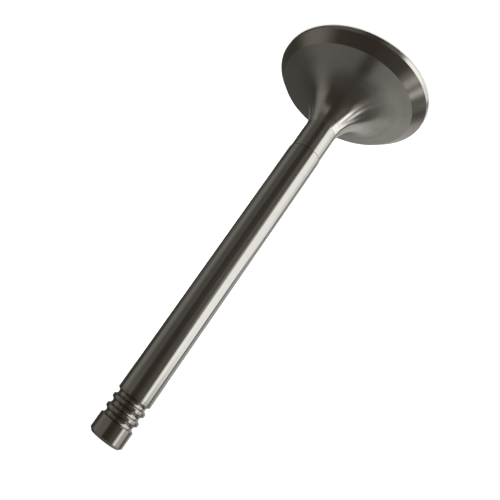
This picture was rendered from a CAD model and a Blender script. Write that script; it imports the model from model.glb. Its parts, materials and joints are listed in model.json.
"""Looks of an engine valve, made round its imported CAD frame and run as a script.

The valve stands on its head: its combustion face is on the floor and its stem points up.
"""

import json
import math
import typing

import bpy
from mathutils import Matrix, Vector


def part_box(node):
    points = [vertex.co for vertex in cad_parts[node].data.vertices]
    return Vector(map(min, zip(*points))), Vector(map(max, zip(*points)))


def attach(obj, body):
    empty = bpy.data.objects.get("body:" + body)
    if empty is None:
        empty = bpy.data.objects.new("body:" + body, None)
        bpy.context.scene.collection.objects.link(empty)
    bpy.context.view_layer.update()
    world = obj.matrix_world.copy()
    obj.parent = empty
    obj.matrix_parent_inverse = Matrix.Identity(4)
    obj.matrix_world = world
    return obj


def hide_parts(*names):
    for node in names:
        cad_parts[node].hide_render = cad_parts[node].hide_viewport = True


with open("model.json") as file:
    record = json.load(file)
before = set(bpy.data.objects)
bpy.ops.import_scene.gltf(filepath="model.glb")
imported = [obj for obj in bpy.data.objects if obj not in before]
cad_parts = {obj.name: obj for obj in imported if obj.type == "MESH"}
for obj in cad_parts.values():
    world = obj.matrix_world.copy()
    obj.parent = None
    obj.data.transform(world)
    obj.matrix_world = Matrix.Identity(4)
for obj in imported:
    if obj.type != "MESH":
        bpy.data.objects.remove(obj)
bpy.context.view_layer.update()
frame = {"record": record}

bl_info = {
    "name": "Engine Valve",
    "version": (1, 0, 0),
    "blender": (4, 5, 0),
    "location": "3D View > Sidebar > Valve",
    "description": "Turns an engine valve in ground and turned steel and sets its studio",
    "category": "Add Mesh",
}

NODE = "engine_valve"
BODY = "root"

MM = 0.001
TINY = 1e-7
FULL_TURN = 2 * math.pi
QUARTER_TURN = math.pi / 2
HALF_TURN_DEGREES = 180.0
BLACK = (0.0, 0.0, 0.0)

_, VALVE_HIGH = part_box(NODE)
STEM_MOUNT = next(mount for mount in frame["record"]["mounts"] if mount["name"] == "stem")
STEM_RADIUS = STEM_MOUNT["dims"]["r_mm"] * MM
STEM_LENGTH = STEM_MOUNT["dims"]["length_mm"] * MM
STEM_LOW = STEM_MOUNT["pos_m"][2] - STEM_LENGTH / 2
GROOVES = 3
ZONES = ("face", "margin", "seat", "underside", "neck", "stem", "grooves", "tip")

# Steps along each round of the half section, and round the valve.
ROUND_STEPS = 4
EDGE_STEPS = 5
GROOVE_STEPS = 22
HOLLOW_STEPS = 56
SEGMENTS = 256

# Rings of tool marks: where they start, how far they wander round the steel and how
# high the fine ones are beside the broad ones.
RING_SHIFT = 100 * MM
RING_WANDER = 0.35
FINE_HEIGHT = 0.7

# Streaks across the rings, and the quarter turn that draws the shine out across them.
STREAKS_ROUND = 9.0
STREAKS_ACROSS = 0.01
SHINE_TURN = 0.25

# Share of a finish's colour that plain steel has.
PLAIN_TONE = 0.99

# Distances from the axis: where the hollow's shine is full and where it ends, and
# the same for the slightly lighter rim of the underside.
SHINE_FULL = 5 * MM
SHINE_NONE = 12 * MM
RIM_FULL = 18.2 * MM
RIM_NONE = 17.4 * MM
RIM_LIFT = 0.05

# The dark line where the grinding stops: half its width, its soft end and its shade.
LINE_FULL = 0.06 * MM
LINE_NONE = 0.16 * MM
LINE_SHADE = 0.45

# Pits: cells to a metre, the share of cells with none, and a pit's size in its cell.
PIT_CELLS = 210.0
PIT_RARITY = 0.93
PIT_FULL = 0.03
PIT_NONE = 0.07

SENSOR_WIDTH = 36.0
CLIP_START = 10 * MM


def length(name, description, default):
    """A size in metres that can be changed in the sidebar."""
    return bpy.props.FloatProperty(
        name=name, description=description, default=default, min=0.0, precision=5,
        subtype="DISTANCE", unit="LENGTH",
    )


def angle(name, description, degrees):
    """An angle that can be changed in the sidebar."""
    return bpy.props.FloatProperty(
        name=name, description=description, default=math.radians(degrees),
        subtype="ANGLE", unit="ROTATION",
    )


def share(name, description, default):
    """A share between nothing and all."""
    return bpy.props.FloatProperty(
        name=name, description=description, default=default, min=0.0, max=1.0,
        subtype="FACTOR",
    )


def amount(name, description, default):
    """A plain number with no unit."""
    return bpy.props.FloatProperty(name=name, description=description, default=default)


def colour(name, description, default):
    """A linear colour."""
    return bpy.props.FloatVectorProperty(
        name=name, description=description, default=default, size=3, min=0.0,
        soft_max=1.0, subtype="COLOR",
    )


class ValveSizes(bpy.types.PropertyGroup):
    """Sizes of the valve's half section."""

    head: length("Head diameter", "Outside of the head", 2 * VALVE_HIGH.x)
    edge_break: length("Face edge break", "Break round the combustion face", 0.2 * MM)
    margin: length("Margin height", "Face to the seat's outer edge", 1.3 * MM)
    seat: length("Seat width", "Seat face along the radius", 2.4 * MM)
    seat_angle: angle("Seat angle", "Seat above the face's plane", 45)
    slope: angle("Underside angle", "Tulip's outer cone above the face's plane", 16)
    fillet: length("Hollow radius", "Hollow between underside and neck", 14.5 * MM)
    neck: length("Neck diameter", "Turned neck below the ground stem", 8.66 * MM)
    neck_low: length("Neck start", "Face to the crease under the neck", 16 * MM)
    stem: length("Stem diameter", "Ground stem, lands and tip", 2 * STEM_RADIUS)
    ground_low: length("Ground stem start", "Face to the ground stem", STEM_LOW)
    lead: length("Lead height", "Small cone on to the ground stem", 0.15 * MM)
    tall: length("Length", "Face to the tip's end", VALVE_HIGH.z)
    tip_break: length("Tip break", "Break round the tip's end", 0.65 * MM)
    tip_to_groove: length("Tip to groove", "Tip's end to the nearest groove", 5.7 * MM)
    pitch: length("Groove pitch", "Middle to middle of the grooves", 2.57 * MM)
    groove: length("Groove radius", "Round form of a keeper groove", 0.8 * MM)
    groove_depth: length("Groove depth", "Groove below the stem", 0.7 * MM)
    rib_round: length("Rib rounding", "Edges of the ribs between grooves", 0.3 * MM)
    soft_edge: length("Soft edge", "Wear on the turned edges", 0.06 * MM)


class SteelLook(bpy.types.PropertyGroup):
    """Colours and finish of the steel."""

    stem_colour: colour("Stem colour", "Ground and polished stem", (0.53, 0.52, 0.5))
    head_colour: colour("Head colour", "Turned underside", (0.64, 0.625, 0.595))
    neck_colour: colour("Neck colour", "Turned neck", (0.55, 0.54, 0.515))
    seat_colour: colour("Seat colour", "Ground seat", (0.52, 0.497, 0.465))
    margin_colour: colour("Margin colour", "Turned margin", (0.64, 0.62, 0.57))
    face_colour: colour("Face colour", "Turned combustion face", (0.52, 0.505, 0.48))
    stem_roughness: share("Stem roughness", "Ground and polished stem", 0.13)
    neck_roughness: share("Neck roughness", "Turned neck", 0.17)
    hollow_roughness: share("Hollow roughness", "Hollow next to the neck", 0.13)
    head_roughness: share("Underside roughness", "Turned underside", 0.266)
    margin_roughness: share("Margin roughness", "Turned margin", 0.22)
    seat_roughness: share("Seat roughness", "Ground seat", 0.24)
    face_roughness: share("Face roughness", "Turned combustion face", 0.4)
    groove_colour: colour("Groove colour", "Keeper grooves", (0.45, 0.43, 0.405))
    groove_roughness: share("Groove roughness", "Keeper grooves and tip", 0.17)
    mark_depth: length("Tool mark depth", "Marks that the tool leaves", 0.0012 * MM)


class StudioLook(bpy.types.PropertyGroup):
    """Floor, light and camera."""

    floor_colour: colour("Floor colour", "Pale floor", (0.9, 0.9, 0.89))
    floor_size: length("Floor size", "Side of the square floor", 8.0)
    floor_roughness: share("Floor roughness", "Pale floor", 0.9)
    daylight: amount("Daylight", "Strength of the soft light from above", 5.0)
    softness: angle("Daylight softness", "Width of the soft light in the sky", 120)
    backdrop: colour("Backdrop", "What the camera sees past the floor", (1.1, 1.1, 1.1))
    room: colour("Room", "Dim room round the valve", (0.06, 0.056, 0.05))
    heading: angle("Camera heading", "From +Y towards +X", 8.1)
    dip: angle("Camera dip", "Below level", 12.03)
    roll: angle("Camera roll", "Turn about the line of sight", -143.3)
    lens: bpy.props.FloatProperty(
        name="Lens", description="Focal length on a 36 mm sensor", default=37.08,
        unit="CAMERA",
    )
    shift: amount("Lens shift", "Sideways shift of the frame", 0.2)
    away: length("Camera distance", "In front of the stem's axis", 126.756 * MM)
    high: length("Camera height", "Above the floor", 97.599 * MM)


class Signal:
    """One output of a shader node. Sums on it add Math nodes."""

    def __init__(self, wiring, socket):
        self.wiring = wiring
        self.socket = socket

    def __add__(self, other):
        return self.wiring.maths("ADD", self, other)

    def __radd__(self, other):
        return self.wiring.maths("ADD", other, self)

    def __sub__(self, other):
        return self.wiring.maths("SUBTRACT", self, other)

    def __rsub__(self, other):
        return self.wiring.maths("SUBTRACT", other, self)

    def __mul__(self, other):
        return self.wiring.maths("MULTIPLY", self, other)

    def __rmul__(self, other):
        return self.wiring.maths("MULTIPLY", other, self)

    def __truediv__(self, other):
        return self.wiring.maths("DIVIDE", self, other)

    def __rtruediv__(self, other):
        return self.wiring.maths("DIVIDE", other, self)

    def __pow__(self, other):
        return self.wiring.maths("POWER", self, other)

    def __rpow__(self, other):
        return self.wiring.maths("POWER", other, self)

    def __abs__(self):
        return self.wiring.maths("ABSOLUTE", self)


class Wiring:
    """Fills the node tree of one material or world."""

    def __init__(self, tree):
        self.tree = tree
        tree.nodes.clear()

    def add(self, kind, settings=None, sockets=None, output=0):
        """Add a node: first its settings, then its sockets' values or links."""
        node = self.tree.nodes.new(kind)
        for name, value in (settings or {}).items():
            setattr(node, name, value)
        used = [socket for socket in node.inputs if socket.enabled]
        for key, value in (sockets or {}).items():
            target = used[key] if isinstance(key, int) else pick(used, key)
            if isinstance(value, Signal):
                self.tree.links.new(value.socket, target)
            else:
                target.default_value = value
        given = [socket for socket in node.outputs if socket.enabled]
        if not given:
            return None
        return Signal(self, given[output] if isinstance(output, int) else pick(given, output))

    def maths(self, operation, *values):
        """Work out one step on numbers."""
        return self.add("ShaderNodeMath", {"operation": operation}, dict(enumerate(values)))

    def fade(self, value, full, none):
        """One where the value is at full, nothing where it is at none, smooth between."""
        sockets = {"Value": value, "From Min": none, "From Max": full}
        return self.add("ShaderNodeMapRange", {"interpolation_type": "SMOOTHSTEP"}, sockets)

    def blend(self, factor, first, second):
        """Go from the first colour to the second."""
        sockets = {"Factor": factor, "A": first, "B": second}
        return self.add("ShaderNodeMix", {"data_type": "RGBA"}, sockets)

    def join(self, x, y, z):
        """A vector from three numbers."""
        return self.add("ShaderNodeCombineXYZ", None, {"X": x, "Y": y, "Z": z})

    def split(self, vector):
        """The three numbers of a vector."""
        node = self.add("ShaderNodeSeparateXYZ", None, {"Vector": vector}).socket.node
        return [Signal(self, socket) for socket in node.outputs]

    def noise(self, place, scale, detail):
        """Smooth noise about one half."""
        sockets = {"Vector": place, "Scale": scale, "Detail": detail}
        return self.add("ShaderNodeTexNoise", None, sockets)


def pick(sockets, name):
    """Find a socket by its name."""
    return next(socket for socket in sockets if socket.name == name)


def opaque(rgb):
    """A colour with its alpha."""
    return (*rgb, 1.0)


class Profile:
    """Half section of the valve as points with the way that each one faces."""

    def __init__(self):
        self.points = []
        self.zones = []
        self.zone = ""

    def put(self, radius, height, facing):
        """Add a point, unless it repeats the last one."""
        spot = Vector((radius, height))
        if self.points and (self.points[-1][0] - spot).length < TINY:
            return
        self.points.append((spot, Vector(facing).normalized()))
        self.zones.append(self.zone)

    def run(self, start, end, steps):
        """A straight stretch. Both ends face square to it."""
        along = end - start
        facing = (along.y, -along.x)
        for step in range(steps + 1):
            spot = start + along * step / steps
            self.put(spot.x, spot.y, facing)

    def arc(self, middle, radius, first, last, steps, hollow=False):
        """A round stretch about its middle, between two angles."""
        way = -1 if hollow else 1
        for step in range(steps + 1):
            turn = first + (last - first) * step / steps
            out = Vector((math.cos(turn), math.sin(turn)))
            spot = middle + out * radius
            self.put(spot.x, spot.y, out * way)


def corner(before, at, after, radius):
    """Round a corner: where the round starts and ends, its middle and its two angles."""
    first = (before - at).normalized()
    second = (after - at).normalized()
    half = first.angle(second) / 2
    reach = radius / math.tan(half)
    middle = at + (first + second).normalized() * radius / math.sin(half)
    start = at + first * reach
    end = at + second * reach
    turn_in = math.atan2(*(start - middle).yx)
    turn_out = math.atan2(*(end - middle).yx)
    turn_out += FULL_TURN * round((turn_in - turn_out) / FULL_TURN)
    return start, end, middle, turn_in, turn_out


class Stretch(typing.NamedTuple):
    """A straight stretch of the half section: where it ends, its steps and its zone."""

    end: tuple
    steps: int
    zone: str


def draw_stretches(profile, soft, start, *stretches):
    """Straight stretches one after the other, with a soft corner between each two."""
    ends = [Vector(start), *(Vector(stretch.end) for stretch in stretches)]
    here = ends[0]
    for index, stretch in enumerate(stretches[:-1], 1):
        profile.zone = stretch.zone
        reached, left, middle, turn_in, turn_out = corner(*ends[index - 1:index + 2], soft)
        profile.run(here, reached, stretch.steps)
        profile.arc(middle, soft, turn_in, turn_out, ROUND_STEPS, turn_out < turn_in)
        here = left
    profile.zone = stretches[-1].zone
    profile.run(here, ends[-1], stretches[-1].steps)


def draw_groove(profile, sizes, height, low_round, high_round):
    """A round keeper groove at a height, with its two edges rounded."""
    stem = sizes.stem / 2
    out = stem - sizes.groove_depth + sizes.groove
    middle = Vector((out, height))

    def edge(rounding):
        rise = math.sqrt((sizes.groove + rounding) ** 2 - (out - stem + rounding) ** 2)
        return rise, math.atan2(rise, out - stem + rounding)

    low_rise, low_turn = edge(low_round)
    high_rise, high_turn = edge(high_round)
    low_middle = Vector((stem - low_round, height - low_rise))
    high_middle = Vector((stem - high_round, height + high_rise))
    first, last = math.pi + low_turn, math.pi - high_turn
    profile.arc(low_middle, low_round, 0, low_turn, EDGE_STEPS)
    profile.arc(middle, sizes.groove, first, last, GROOVE_STEPS, True)
    profile.arc(high_middle, high_round, -high_turn, 0, EDGE_STEPS)


def hollow_middle(seat_top, neck_low, slope, radius):
    """The middle of the hollow, which touches the underside's cone and ends at the neck."""
    inward = Vector((-math.cos(slope), math.sin(slope)))
    start = seat_top + Vector((math.sin(slope), math.cos(slope))) * radius
    away = start - neck_low
    back = away.dot(inward)
    reach = -back - math.sqrt(back ** 2 - away.dot(away) + radius ** 2)
    return start + inward * reach


def draw_valve(sizes):
    """The valve's half section, from the middle of the face to the middle of the tip."""
    head = sizes.head / 2
    neck = sizes.neck / 2
    stem = sizes.stem / 2
    soft = sizes.soft_edge
    seat_in = head - sizes.seat
    seat_top = Vector((seat_in, sizes.margin + sizes.seat * math.tan(sizes.seat_angle)))
    neck_low = Vector((neck, sizes.neck_low))
    middle = hollow_middle(seat_top, neck_low, sizes.slope, sizes.fillet)
    cone_turn = 3 * QUARTER_TURN - sizes.slope
    cone_top = middle + Vector((math.cos(cone_turn), math.sin(cone_turn))) * sizes.fillet
    neck_turn = math.atan2(*(middle - neck_low).yx) + math.pi
    first_groove = sizes.tall - sizes.tip_to_groove - (GROOVES - 1) * sizes.pitch
    profile = Profile()
    draw_stretches(
        profile, soft, (0, 0),
        Stretch((head - sizes.edge_break, 0), 24, "face"),
        Stretch((head, sizes.edge_break), 2, "margin"),
        Stretch((head, sizes.margin), 6, "margin"),
        Stretch(seat_top, 12, "seat"),
        Stretch(cone_top, 18, "underside"),
    )
    profile.arc(middle, sizes.fillet, cone_turn, neck_turn, HOLLOW_STEPS, True)
    draw_stretches(
        profile, soft, neck_low,
        Stretch((neck, sizes.ground_low - sizes.lead), 24, "neck"),
        Stretch((stem, sizes.ground_low), 2, "neck"),
        Stretch((stem, first_groove - 2 * sizes.groove), 40, "stem"),
    )
    profile.zone = "grooves"
    for index in range(GROOVES):
        low_round = sizes.rib_round if index else soft
        high_round = sizes.rib_round if index < GROOVES - 1 else soft
        height = first_groove + index * sizes.pitch
        draw_groove(profile, sizes, height, low_round, high_round)
    draw_stretches(
        profile, soft, profile.points[-1][0],
        Stretch((stem, sizes.tall - sizes.tip_break), 6, "tip"),
        Stretch((stem - sizes.tip_break, sizes.tall), 3, "tip"),
        Stretch((0, sizes.tall), 10, "tip"),
    )
    return profile


def turn_profile(name, profile):
    """Turn the half section round the stem's axis into one closed mesh."""
    spots = []
    normals = []
    rings = []
    turns = [FULL_TURN * step / SEGMENTS for step in range(SEGMENTS)]
    for spot, facing in profile.points:
        on_axis = spot.x < TINY
        first = len(spots)
        for turn in turns[:1] if on_axis else turns:
            across = Vector((math.cos(turn), math.sin(turn)))
            spots.append((across.x * spot.x, across.y * spot.x, spot.y))
            normals.append((across.x * facing.x, across.y * facing.x, facing.y))
        rings.append([first] * SEGMENTS if on_axis else list(range(first, len(spots))))
    faces = []
    zones = []
    for index in range(1, len(rings)):
        low, high = rings[index - 1], rings[index]
        for step in range(SEGMENTS):
            after = (step + 1) % SEGMENTS
            loop = (low[step], low[after], high[after], high[step])
            faces.append(tuple(dict.fromkeys(loop)))
            zones.append(ZONES.index(profile.zones[index]))
    mesh = bpy.data.meshes.new(name)
    mesh.from_pydata(spots, [], faces)
    mesh.polygons.foreach_set("material_index", zones)
    mesh.polygons.foreach_set("use_smooth", [True] * len(faces))
    mesh.normals_split_custom_set_from_vertices(normals)
    if mesh.validate():
        raise RuntimeError("the turned mesh had faults")
    return mesh


class Weights(typing.NamedTuple):
    """How strongly each kind of unevenness counts."""

    fine: float
    broad: float
    patch: float


# Unevenness of the roughness, and of the tone.
WEAR = Weights(fine=0.04, broad=0.06, patch=0.22)
SHADE = Weights(fine=0.06, broad=0.1, patch=0.1)


def pit_cover(wiring, place, strength):
    """How dark each spot is with a few small pits in the steel."""
    cells = {"Vector": place, "Scale": PIT_CELLS, "Randomness": 1.0}
    nearest = wiring.add("ShaderNodeTexVoronoi", None, cells, "Distance")
    chosen = wiring.add("ShaderNodeTexVoronoi", None, cells, "Color")
    rare = wiring.maths("GREATER_THAN", wiring.split(chosen)[0], PIT_RARITY)
    return wiring.fade(nearest, PIT_FULL, PIT_NONE) * rare * strength


def steel(name, tint, roughness, grain, pitch, depth, uneven=1.0, streak=0.0, pits=0.0,
          shiny=None, line=None):
    """Steel with rings of tool marks at a pitch and a depth. Grain is how far they draw
    out the shine, and uneven how strongly they shade the tone. Streak and pits are the
    strengths of the streaks across them and of a few small pits. Shiny is the roughness
    of the hollow, whose finish gets finer towards the stem. Line is the height of a thin
    dark line round the steel."""
    material = bpy.data.materials.new(name)
    material.use_nodes = True
    wiring = Wiring(material.node_tree)
    place = wiring.add("ShaderNodeTexCoord", output="Object")
    x, y, z = wiring.split(place)
    radius = (x * x + y * y) ** 0.5
    out_x = x / radius
    out_y = y / radius
    across = (z - radius + RING_SHIFT) / pitch
    rings = wiring.join(across, out_x * RING_WANDER, out_y * RING_WANDER)
    fine = wiring.noise(rings, scale=1.0, detail=3.0)
    broad = wiring.noise(rings, scale=0.17, detail=2.0)
    patch = wiring.noise(place, scale=160.0, detail=3.0)
    shade = patch * SHADE.patch + broad * SHADE.broad + fine * SHADE.fine - sum(SHADE) / 2
    tone = PLAIN_TONE + shade * uneven
    if shiny is None:
        wear = 1 - sum(WEAR) / 2 + fine * WEAR.fine + broad * WEAR.broad + patch * WEAR.patch
        worn = roughness * wear
    else:
        worn = roughness + wiring.fade(radius, SHINE_FULL, SHINE_NONE) * (shiny - roughness)
        tone = tone + wiring.fade(radius, RIM_FULL, RIM_NONE) * RIM_LIFT
    if streak:
        way = wiring.join(out_x * STREAKS_ROUND, out_y * STREAKS_ROUND, across * STREAKS_ACROSS)
        worn = worn + (wiring.noise(way, scale=1.0, detail=3.0) - 0.5) * streak
    if line is not None:
        tone = tone * (1 - LINE_SHADE * wiring.fade(abs(z - line), LINE_FULL, LINE_NONE))
    if pits:
        tone = tone * (1 - pit_cover(wiring, place, pits))
    height = {"Height": fine * FINE_HEIGHT + broad, "Distance": depth, "Strength": 1.0}
    shader = wiring.add("ShaderNodeBsdfPrincipled", None, {
        "Base Color": wiring.blend(tone, opaque(BLACK), opaque(tint)),
        "Metallic": 1.0,
        "Roughness": worn,
        "Anisotropic": grain,
        "Anisotropic Rotation": SHINE_TURN,
        "Normal": wiring.add("ShaderNodeBump", None, height),
    })
    wiring.add("ShaderNodeOutputMaterial", None, {"Surface": shader})
    return material


def make_finishes(look, sizes):
    """The finish of each zone of the valve, in the order of the zones."""
    mark = look.mark_depth
    grinding_end = sizes.ground_low - 1.5 * sizes.lead
    return (
        steel("turned_face", look.face_colour, look.face_roughness,
              grain=0.7, pitch=0.5 * MM, depth=mark * 2),
        steel("turned_margin", look.margin_colour, look.margin_roughness,
              grain=0.6, pitch=0.2 * MM, depth=mark),
        steel("ground_seat", look.seat_colour, look.seat_roughness,
              grain=0.9, pitch=0.2 * MM, depth=mark * 0.6, streak=0.08),
        steel("turned_underside", look.head_colour, look.head_roughness,
              grain=0.92, pitch=0.4 * MM, depth=mark, uneven=4.5, shiny=look.hollow_roughness),
        steel("turned_neck", look.neck_colour, look.neck_roughness,
              grain=0.85, pitch=0.4 * MM, depth=mark * 0.5, uneven=2.0, line=grinding_end),
        steel("ground_stem", look.stem_colour, look.stem_roughness,
              grain=0.5, pitch=0.3 * MM, depth=mark * 0.05, pits=0.6),
        steel("keeper_grooves", look.groove_colour, look.groove_roughness,
              grain=0.5, pitch=0.2 * MM, depth=mark * 0.4),
        steel("ground_tip", look.groove_colour, look.groove_roughness,
              grain=0.5, pitch=0.3 * MM, depth=mark * 0.4, pits=0.4),
    )


class VALVE_OT_turn(bpy.types.Operator):
    """Turn the valve and give each zone its finish"""

    bl_idname = "engine_valve.turn"
    bl_label = "Turn the valve"

    def execute(self, context):
        profile = draw_valve(context.scene.valve_sizes)
        mesh = turn_profile("valve", profile)
        for material in make_finishes(context.scene.valve_steel, context.scene.valve_sizes):
            mesh.materials.append(material)
        valve = bpy.data.objects.new("valve", mesh)
        context.scene.collection.objects.link(valve)
        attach(valve, BODY)
        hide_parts(NODE)
        return {"FINISHED"}


def make_floor(context, look):
    """A plain pale floor that the steel doesn't mirror."""
    half = look.floor_size / 2
    mesh = bpy.data.meshes.new("floor")
    mesh.from_pydata(
        [(-half, -half, 0), (half, -half, 0), (half, half, 0), (-half, half, 0)],
        [], [(0, 1, 2, 3)],
    )
    floor = bpy.data.objects.new("floor", mesh)
    context.scene.collection.objects.link(floor)
    material = bpy.data.materials.new("pale_floor")
    material.use_nodes = True
    wiring = Wiring(material.node_tree)
    shader = wiring.add("ShaderNodeBsdfPrincipled", None, {
        "Base Color": opaque(look.floor_colour),
        "Roughness": look.floor_roughness,
        "Specular IOR Level": 0.0,
    })
    wiring.add("ShaderNodeOutputMaterial", None, {"Surface": shader})
    mesh.materials.append(material)
    floor.visible_glossy = False


def make_daylight(context, look):
    """Very soft light from above for the floor alone."""
    data = bpy.data.lights.new("daylight", "SUN")
    data.energy = look.daylight
    data.angle = look.softness
    light = bpy.data.objects.new("daylight", data)
    context.scene.collection.objects.link(light)
    light.visible_glossy = False


class Card(typing.NamedTuple):
    """A lit or dark patch of the room, in degrees: its bearing from the camera's side
    with +X positive, half its width, the width of its soft sides, its low and high
    ends and how soft they are. Lean moves it and flare narrows it for each degree up."""

    bearing: float
    half: float
    side: float
    low: float
    high: float
    ends: float
    light: tuple
    lean: float = 0.0
    flare: float = 0.0


CARDS = {
    "ceiling": Card(180, 70, 60, 46, 120, 20, (0.16, 0.153, 0.14)),
    "table_glow": Card(-22, 26, 44, -60, -6, 24, (0.16, 0.15, 0.134)),
    "right_wall": Card(-40, 18, 28, -90, 32, 16, (0.137, 0.117, 0.098)),
    "dark_corner": Card(8, 12, 24, -90, 60, 20, (0.054, 0.041, 0.034)),
    "corner_glow": Card(6, 9, 14, -26, -8, 10, (0.08, 0.067, 0.058)),
    "warm_patch": Card(54, 22, 14, -60, 6, 16, (0.115, 0.108, 0.097)),
    "lit_shelf": Card(50, 22, 10, 3, 15, 10, (0.25, 0.22, 0.178)),
    "shelf_shade": Card(34, 30, 16, 24, 50, 12, (0.05, 0.036, 0.031)),
    "left_wall": Card(91, 19, 26, -38, 40, 24, (0.25, 0.238, 0.217)),
    "left_high": Card(124, 20, 30, 36, 72, 24, (0.17, 0.162, 0.15)),
    "left_dark": Card(160, 24, 30, -90, 46, 16, (0.07, 0.065, 0.059)),
    "left_glow": Card(125, 8, 12, -28, -8, 8, (0.13, 0.122, 0.112)),
    "back_wall": Card(182, 34, 28, -29, -24, 4, (0.27, 0.265, 0.256)),
    "ceiling_right": Card(-154, 24, 8, -8, 66, 30, (0.35, 0.34, 0.318)),
    "second_pane": Card(-139, 27, 8, -60, 4, 14, (0.52, 0.515, 0.505), 0.2, -0.1),
    "far_window": Card(-158, 9, 12, -30, -17, 8, (0.53, 0.526, 0.513)),
    "gap_top": Card(-109, 14, 8, 2, 30, 8, (0.09, 0.085, 0.078)),
    "window_top": Card(-81, 31, 8, -8, 22, 12, (0.66, 0.64, 0.6), -0.1, 0.3),
    "window_gap": Card(-104, 14, 8, 11, 60, 12, (0.09, 0.085, 0.078)),
    "window_edge": Card(-43, 8, 14, -28, -8, 6, (0.4, 0.385, 0.36)),
    "wall_glow": Card(-67, 13, 12, 31.5, 43, 8, (0.37, 0.34, 0.285)),
    "middle_streak": Card(-86, 4, 6, 10, 33, 10, (1.15, 1.11, 1.05)),
    "window": Card(-83, 32, 7, -60, -1, 12, (1.5, 1.485, 1.455), -0.05, 0.22),
    "window_haze": Card(-106, 16, 34, -60, -22, 12, (1.0, 0.98, 0.95)),
    "right_streak": Card(-64, 6, 8, -12, 28, 14, (1.6, 1.58, 1.545), -0.1),
    "gap_low": Card(-114.5, 6, 6, -90, -18, 8, (0.125, 0.12, 0.113), 0.3),
    "gap": Card(-110.5, 6, 6, -18, 4, 8, (0.1, 0.096, 0.09)),
}


def make_room(context, look):
    """The dim room and its lit cards, which only the steel mirrors."""
    world = bpy.data.worlds.new("room")
    context.scene.world = world
    world.use_nodes = True
    wiring = Wiring(world.node_tree)
    x, y, z = wiring.split(wiring.add("ShaderNodeTexCoord", output="Generated"))
    to_degrees = math.degrees(1)
    bearing = wiring.maths("ARCTAN2", x, 0 - y) * to_degrees
    rise = wiring.maths("ARCSINE", z) * to_degrees
    light = opaque(look.room)
    for card in CARDS.values():
        side = card.side / 2
        end = card.ends / 2
        away = bearing - card.bearing - rise * card.lean
        nearest = wiring.maths("WRAP", away, HALF_TURN_DEGREES, -HALF_TURN_DEGREES)
        off = abs(nearest) + rise * card.flare
        across = wiring.fade(off, card.half - side, card.half + side)
        above = wiring.fade(rise, card.low + end, card.low - end)
        below = wiring.fade(rise, card.high - end, card.high + end)
        light = wiring.blend(across * above * below, light, opaque(card.light))
    room = wiring.add("ShaderNodeBackground", None, {"Color": light})
    seen = wiring.add("ShaderNodeBackground", None, {"Color": opaque(look.backdrop)})
    camera = wiring.add("ShaderNodeLightPath", output="Is Camera Ray")
    surface = wiring.add("ShaderNodeMixShader", None, {0: camera, 1: room, 2: seen})
    wiring.add("ShaderNodeOutputWorld", None, {"Surface": surface})


def make_camera(context, look):
    """The camera at the photograph's angle."""
    data = bpy.data.cameras.new("camera")
    data.lens = look.lens
    data.sensor_width = SENSOR_WIDTH
    data.shift_x = look.shift
    data.clip_start = CLIP_START
    camera = bpy.data.objects.new("camera", data)
    context.scene.collection.objects.link(camera)
    level = Matrix.Rotation(QUARTER_TURN - look.dip, 4, "X")
    turned = Matrix.Rotation(-look.heading, 4, "Z") @ level
    rolled = turned @ Matrix.Rotation(look.roll, 4, "Z")
    camera.matrix_world = Matrix.Translation((0, -look.away, look.high)) @ rolled
    context.scene.camera = camera


class VALVE_OT_stage(bpy.types.Operator):
    """Set the floor, the light and the camera"""

    bl_idname = "engine_valve.stage"
    bl_label = "Set the stage"

    def execute(self, context):
        look = context.scene.valve_studio
        make_floor(context, look)
        make_daylight(context, look)
        make_room(context, look)
        make_camera(context, look)
        context.scene.view_settings.view_transform = "Standard"
        context.scene.view_settings.look = "None"
        return {"FINISHED"}


class VALVE_PT_sidebar(bpy.types.Panel):
    """The valve's operators and settings"""

    bl_label = "Engine valve"
    bl_idname = "VALVE_PT_sidebar"
    bl_space_type = "VIEW_3D"
    bl_region_type = "UI"
    bl_category = "Valve"

    def draw(self, context):
        layout = self.layout
        scene = context.scene
        layout.operator(VALVE_OT_turn.bl_idname)
        layout.operator(VALVE_OT_stage.bl_idname)
        for group in (scene.valve_sizes, scene.valve_steel, scene.valve_studio):
            box = layout.box()
            for name in group.__annotations__:
                box.prop(group, name)


CLASSES = (ValveSizes, SteelLook, StudioLook, VALVE_OT_turn, VALVE_OT_stage, VALVE_PT_sidebar)
SETTINGS = {"valve_sizes": ValveSizes, "valve_steel": SteelLook, "valve_studio": StudioLook}


def register():
    """Make the classes and settings known to Blender."""
    for entry in CLASSES:
        bpy.utils.register_class(entry)
    for name, group in SETTINGS.items():
        setattr(bpy.types.Scene, name, bpy.props.PointerProperty(type=group))


def unregister():
    """Take the classes and settings out again."""
    for name in SETTINGS:
        delattr(bpy.types.Scene, name)
    for entry in reversed(CLASSES):
        bpy.utils.unregister_class(entry)


def main():
    """Make the valve and its stage."""
    register()
    bpy.ops.engine_valve.turn()
    bpy.ops.engine_valve.stage()


if __name__ == "__main__":
    main()
